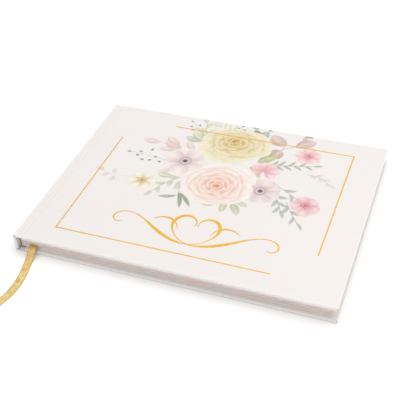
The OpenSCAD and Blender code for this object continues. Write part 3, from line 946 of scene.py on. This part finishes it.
class GUESTBOOK_OT_covers(bpy.types.Operator):
    """Wraps the two covers and the spine board in their paper, with the printed front"""
    bl_idname = "guest_book.covers"
    bl_label = "Covers"

    def execute(self, context):
        case, inks = context.scene.guest_book_case, context.scene.guest_book_print
        material = cover_material()
        low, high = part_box("front_cover_paper")
        rim = case.rim
        spine_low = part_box("spine_cover_paper")[0]
        a = print_lines(low[0], high[0] - rim, spine_low[0] + PRINT_LEFT,
                        spine_low[0] + PRINT_RIGHT, inks.grid, PLAIN_GRID)
        b = print_lines(low[1] + rim, high[1] - rim, spine_low[1] + PRINT_TAIL, high[1] - rim,
                        inks.grid, PLAIN_GRID)

        def front_place(flat):
            return flat + np.array([0, 0, low[2]])

        def front_inks(points):
            drawn = print_colours(points[:, 0], points[:, 1])
            hidden = points[:, 2] < low[2] + 0.5 * MM
            return np.where(hidden[:, None], np.array(case.paper), drawn)

        front = wrapped_panel("front_cover_wrap", a, b, high[2] - low[2], front_place,
                              case.turn_in, colours=front_inks)
        back_low, back_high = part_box("back_cover_paper")
        plain = (np.linspace(back_low[0], back_high[0] - rim, 24),
                 np.linspace(back_low[1] + rim, back_high[1] - rim, 20))
        back = wrapped_panel("back_cover_wrap", *plain, back_high[2] - back_low[2],
                             lambda flat: flat * [1, 1, -1] + [0, 0, back_high[2]], case.turn_in)
        low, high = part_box("spine_cover_paper")
        slim = (np.linspace(low[1] + rim, high[1] - rim, 30),
                np.linspace(low[2] + rim, high[2] - rim, 6))
        spine = wrapped_panel("spine_wrap", *slim, high[0] - low[0],
                              lambda flat: np.stack([high[0] - flat[:, 2], flat[:, 0],
                                                     flat[:, 1]], -1),
                              case.turn_in, closed=True,
                              tuck=(1, 0.25 * MM / case.turn_in))
        for piece, body, node in ((front, "front_case", "front_cover_paper"),
                                  (back, "back_case", "back_cover_paper"),
                                  (spine, "spine", "spine_cover_paper")):
            piece.data.materials.append(material)
            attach(piece, body)
            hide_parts(node)
        return {"FINISHED"}


def hinge_strip(name, low, high, side):
    """Paper across a hinge: it dips from the spine's edge to a crease, rises in a low arch, dips to
    a second crease and comes up to the board. side is 1 for the front and -1 for the back."""
    case = bpy.context.scene.guest_book_case
    outer = high[2] if side > 0 else low[2]
    u = np.linspace(0, 1, 41)
    deep = (high[2] - low[2]) - case.paper_thickness
    valley = smoothstep(0, 0.24, u) * smoothstep(1, 0.80, u)
    arch = 0.42 * np.sin(np.pi * np.clip((u - 0.2) / 0.62, 0, 1)) ** 2
    dip = 0.85 * deep * valley * (1 - arch)
    x = low[0] + (high[0] - low[0]) * u
    top = np.stack([x, outer - side * dip], -1)
    under = np.stack([x, outer - side * (dip + case.paper_thickness)], -1)
    loop = np.vstack([top, under[::-1]])
    y = np.linspace(low[1], high[1], 40)
    points = carried(loop, y)
    # Nearness to the strip's ends: the mask of the lighter paper core and the painted highlight in the
    # cover material.
    edge = np.exp(-(np.minimum(points[:, 1] - low[1], high[1] - points[:, 1])) / 0.5e-3)
    return make_mesh(name, points, tube_faces(len(y), len(loop)),
                     colours=np.tile(np.array(case.paper), (len(points), 1)), edge=edge,
                     sharp=1.0)


class GUESTBOOK_OT_hinges(bpy.types.Operator):
    """Bridges the two hinges with creased cover paper"""
    bl_idname = "guest_book.hinges"
    bl_label = "Hinges"

    def execute(self, context):
        case = context.scene.guest_book_case
        for node, name, first, second, side in (
                ("front_hinge_paper", "front_hinge_wrap", "spine", "front_case", 1),
                ("rear_hinge_paper", "rear_hinge_wrap", "back_case", "spine", -1)):
            low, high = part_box(node)
            piece = hinge_strip(name, low, high, side)
            piece.data.materials.append(cover_material())
            ends = [(low[0], 0, high[2]), (low[0] + case.hinge_bend, 0, high[2])]
            if first == "back_case":
                ends.reverse()
            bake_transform(piece)
            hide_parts(node)
        return {"FINISHED"}


class GUESTBOOK_OT_boards(bpy.types.Operator):
    """Gives the greyboards, end papers and foil of the frame their finishes"""
    bl_idname = "guest_book.boards"
    bl_label = "Boards, end papers and foil"

    def execute(self, context):
        pages = context.scene.guest_book_pages
        finishes = (
            (board_material(), ("back_board", "spine_board", "front_board")),
            (page_material("end_sheet_stock", pages.end_paper, False),
             ("back_pastedown", "front_pastedown", "front_flyleaf", "back_flyleaf")),
            (foil_material(), ("foil_frame_lower", "foil_frame_upper", "foil_flourish")),
        )
        for material, nodes in finishes:
            for node in nodes:
                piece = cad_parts[node]
                piece.data.materials.clear()
                piece.data.materials.append(material)
        return {"FINISHED"}


# ---------------------------------------------------------------- the pages

def folded_sheet(x_back, x_fore, y_tail, y_head, z_low, z_high, radius, thick):
    """One folded sheet: two leaves at z_low and z_high joined by a half circle at the back, carried
    from tail to head. Points are rings of the cross section's outline."""
    arc = np.linspace(np.pi / 2, 3 * np.pi / 2, 9)
    middle = (z_low + z_high) / 2
    outlines = []
    for size in (1, -1):
        r = (z_high - z_low) / 2 + size * thick / 2
        curve = np.stack([x_back + radius + r * np.cos(arc), middle + r * np.sin(arc)], -1)
        outlines.append(np.vstack([[x_fore, middle + r], curve, [x_fore, middle - r]]))
    loop = np.vstack([outlines[0], outlines[1][::-1]])
    y = np.linspace(y_tail, y_head, 4)
    return carried(loop, y), tube_faces(len(y), len(loop))


class GUESTBOOK_OT_pages(bpy.types.Operator):
    """Builds each sewn section as folded sheets, one inside the next, with slightly uneven edges"""
    bl_idname = "guest_book.pages"
    bl_label = "Pages"

    def execute(self, context):
        pages = context.scene.guest_book_pages
        material = page_material("page_stock", pages.paper, True)
        for number, node in enumerate(SECTIONS):
            low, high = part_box(node)
            pitch = (high[2] - low[2]) / (2 * pages.sheets)
            radius = (high[2] - low[2]) / 2
            points, faces = [], []
            for sheet in range(pages.sheets):
                short = pages.unevenness * hash_noise(number, sheet, np.arange(3.0))
                found, walls = folded_sheet(
                    low[0], high[0] - short[0], low[1] + short[1], high[1] - short[2],
                    low[2] + (sheet + 0.5) * pitch, high[2] - (sheet + 0.5) * pitch, radius,
                    0.82 * pitch)
                faces += [[corner + len(points) * len(found) for corner in face]
                          for face in walls]
                points.append(found)
            piece = make_mesh(f"{node}_sheets", np.vstack(points), faces, sharp=0.6)
            piece.data.materials.append(material)
            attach(piece, SECTION_BODIES[node])
            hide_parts(node)
        return {"FINISHED"}


class GUESTBOOK_OT_lining(bpy.types.Operator):
    """Glues a strip of gauze over the folds at the back of the pages"""
    bl_idname = "guest_book.lining"
    bl_label = "Spine lining"

    def execute(self, context):
        low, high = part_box("spine_lining")
        z = np.linspace(low[2] + LINING_TRIM, high[2], 61)
        y = np.linspace(low[1], high[1], 40)
        thick = high[0] - low[0]
        sink = 0.3 * thick * np.sin(np.pi * (z - low[2]) / (high[2] - low[2]) * 10) ** 2
        outer = np.stack([low[0] + 0.3 * thick - sink, z], -1)
        inner = np.stack([np.full_like(z, high[0]), z], -1)
        loop = np.vstack([outer, inner[::-1]])
        points = carried(loop, y)
        piece = make_mesh("lining_gauze", points, tube_faces(len(y), len(loop)),
                          uv=points[:, [1, 2]], sharp=1.0)
        piece.data.materials.append(gauze_material())
        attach(piece, "lining")
        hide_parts("spine_lining")
        return {"FINISHED"}


# ---------------------------------------------------------------- the ribbon

def ribbon_mesh(name, line, width, thickness, side=None):
    """A flat ribbon along a line: each ring is a slim outline with thinner selvages. Across is
    side, or else level and square to the line; through is square to both."""
    aim = np.gradient(line, axis=0)
    aim /= np.linalg.norm(aim, axis=1)[:, None]
    if side is None:
        across = np.stack([-aim[:, 1], aim[:, 0], np.zeros(len(aim))], -1)
        across /= np.linalg.norm(across, axis=1)[:, None]
    else:
        across = np.tile(side, (len(line), 1))
    through = np.cross(aim, across)
    w = np.linspace(-1, 1, 13)
    full = thickness / 2 * (1 - 0.55 * np.abs(w) ** 8)
    outline = np.vstack([np.stack([w * width / 2, full], -1),
                         np.stack([w * width / 2, -full], -1)[::-1]])
    points = (line[:, None, :] + across[:, None, :] * outline[None, :, 0:1]
              + through[:, None, :] * outline[None, :, 1:2])
    walked = np.concatenate([[0], np.cumsum(np.linalg.norm(np.diff(line, axis=0), axis=1))])
    uv = np.stack([np.broadcast_to(outline[None, :, 0], (len(line), len(outline))),
                   np.broadcast_to(walked[:, None], (len(line), len(outline)))], -1)
    return make_mesh(name, points.reshape(-1, 3), tube_faces(len(line), len(outline)),
                     uv=uv.reshape(-1, 2), sharp=1.2)


class GUESTBOOK_OT_ribbon(bpy.types.Operator):
    """Lays the satin ribbon: its free tail on the table, and its run between the pages"""
    bl_idname = "guest_book.ribbon"
    bl_label = "Ribbon"

    def execute(self, context):
        ribbon = context.scene.guest_book_ribbon
        low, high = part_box("ribbon_inner")
        pages_low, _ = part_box("section_08")
        exit_x = pages_low[0] + RIBBON_EXIT
        level = (low[2] + high[2]) / 2
        clearance = 0.02 * MM
        route = np.array([(exit_x + along, low[1] - out, height)
                          for along, out, height in RIBBON_ROUTE])
        line = spline(route, 160)
        line[:, 2] = np.maximum(line[:, 2], RIBBON_LOWEST)
        tail = ribbon_mesh("ribbon_free_tail", line, ribbon.width, ribbon.thickness)
        head_x = pages_low[0] + 0.5 * ribbon.width + 0.001
        inner_line = spline([(exit_x, low[1], level), ((exit_x + head_x) / 2, 0, level),
                             (head_x, high[1], level)], 60)
        inner = ribbon_mesh("ribbon_between_pages", inner_line, ribbon.width - clearance,
                            ribbon.thickness - clearance, side=(-1, 0, 0))
        for piece, node in ((tail, "ribbon_tail"), (inner, "ribbon_inner")):
            piece.data.materials.append(satin_material())
            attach(piece, "back_case")
            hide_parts(node)
        return {"FINISHED"}


# ---------------------------------------------------------------- the stage

class GUESTBOOK_OT_stage(bpy.types.Operator):
    """Sets up the pale floor, the soft lights and the camera"""
    bl_idname = "guest_book.stage"
    bl_label = "Stage"

    def execute(self, context):
        stage, scene = context.scene.guest_book_stage, context.scene
        scene.view_settings.view_transform = "Standard"
        floor_mesh = bpy.data.meshes.new("floor")
        reach, top = 3.0, -2e-5
        floor_mesh.from_pydata([(-reach, -reach, top), (reach, -reach, top),
                                (reach, reach, top), (-reach, reach, top)], [], [(0, 1, 2, 3)])
        floor = bpy.data.objects.new("floor", floor_mesh)
        scene.collection.objects.link(floor)
        material, tree, shader = new_material("pale_floor")
        place = add(tree, "ShaderNodeTexCoord").outputs["Object"]
        surface = use_group(tree, paper_group(), {"Vector": place, "Color": tuple(stage.floor),
                                                  "Tone": 0.004, "Fibre size": 300.0,
                                                  "Roughness": 0.8})
        finish_material(tree, shader, surface["Color"], surface["Roughness"], surface["Height"],
                        0.05, 2e-5)
        shader.inputs["Specular IOR Level"].default_value = 0.1
        floor_mesh.materials.append(material)
        world = bpy.data.worlds.new("studio")
        world.use_nodes = True
        world.node_tree.nodes["Background"].inputs[0].default_value = (1, 0.99, 0.98, 1)
        world.node_tree.nodes["Background"].inputs[1].default_value = stage.sky
        scene.world = world
        self.light("key", (0.15, 0.2, 1.3), 1.4, stage.key)
        self.light("side", (1.15, -0.3, 0.5), 0.9, stage.side)
        self.camera(scene)
        return {"FINISHED"}

    def light(self, name, place, size, power):
        """A square soft light at place, aimed at the book."""
        data = bpy.data.lights.new(name, "AREA")
        data.shape = "SQUARE"
        data.size = size
        data.energy = power
        light = bpy.data.objects.new(name, data)
        light.location = place
        light.rotation_euler = Vector(place).to_track_quat("Z", "Y").to_euler()
        bpy.context.scene.collection.objects.link(light)

    def camera(self, scene):
        """The camera, from its azimuth, elevation, roll and distance to the point it looks at."""
        azimuth, elevation, roll = np.radians([22.258, 39.407, -3.413])
        target, distance = Vector((-0.00584, -0.00533, 0.0067)), 0.6074
        back = Vector((np.sin(azimuth) * np.cos(elevation),
                       -np.cos(azimuth) * np.cos(elevation), np.sin(elevation)))
        level = Vector((np.cos(azimuth), np.sin(azimuth), 0))
        upright = back.cross(level)
        right = level * np.cos(roll) + upright * np.sin(roll)
        up = upright * np.cos(roll) - level * np.sin(roll)
        data = bpy.data.cameras.new("camera")
        data.lens, data.sensor_width, data.clip_start = 72.853, 36.0, 0.01
        camera = bpy.data.objects.new("camera", data)
        camera.matrix_world = Matrix.Translation(target + back * distance) @ Matrix(
            (right, up, back)).transposed().to_4x4()
        scene.collection.objects.link(camera)
        scene.camera = camera


class VIEW3D_PT_guest_book(bpy.types.Panel):
    """Lists the sizes, the colours and the build steps"""
    bl_label = "Guest book"
    bl_idname = "VIEW3D_PT_guest_book"
    bl_space_type = "VIEW_3D"
    bl_region_type = "UI"
    bl_category = "Guest book"

    def draw(self, context):
        for name, kind in SETTINGS.items():
            box = self.layout.box()
            for prop in kind.__annotations__:
                box.prop(getattr(context.scene, name), prop)
        for operator in OPERATORS:
            self.layout.operator(operator.bl_idname)


OPERATORS = (GUESTBOOK_OT_stage, GUESTBOOK_OT_ribbon, GUESTBOOK_OT_covers, GUESTBOOK_OT_hinges,
             GUESTBOOK_OT_boards, GUESTBOOK_OT_pages, GUESTBOOK_OT_lining)


def register():
    for kind in (*SETTINGS.values(), *OPERATORS, VIEW3D_PT_guest_book):
        bpy.utils.register_class(kind)
    for name, kind in SETTINGS.items():
        setattr(bpy.types.Scene, name, PointerProperty(type=kind))


def unregister():
    for name in SETTINGS:
        delattr(bpy.types.Scene, name)
    for kind in (VIEW3D_PT_guest_book, *reversed(OPERATORS), *SETTINGS.values()):
        bpy.utils.unregister_class(kind)


def main():
    register()
    for operator in OPERATORS:
        group, action = operator.bl_idname.split(".")
        getattr(getattr(bpy.ops, group), action)()


if __name__ == "__main__":
    main()
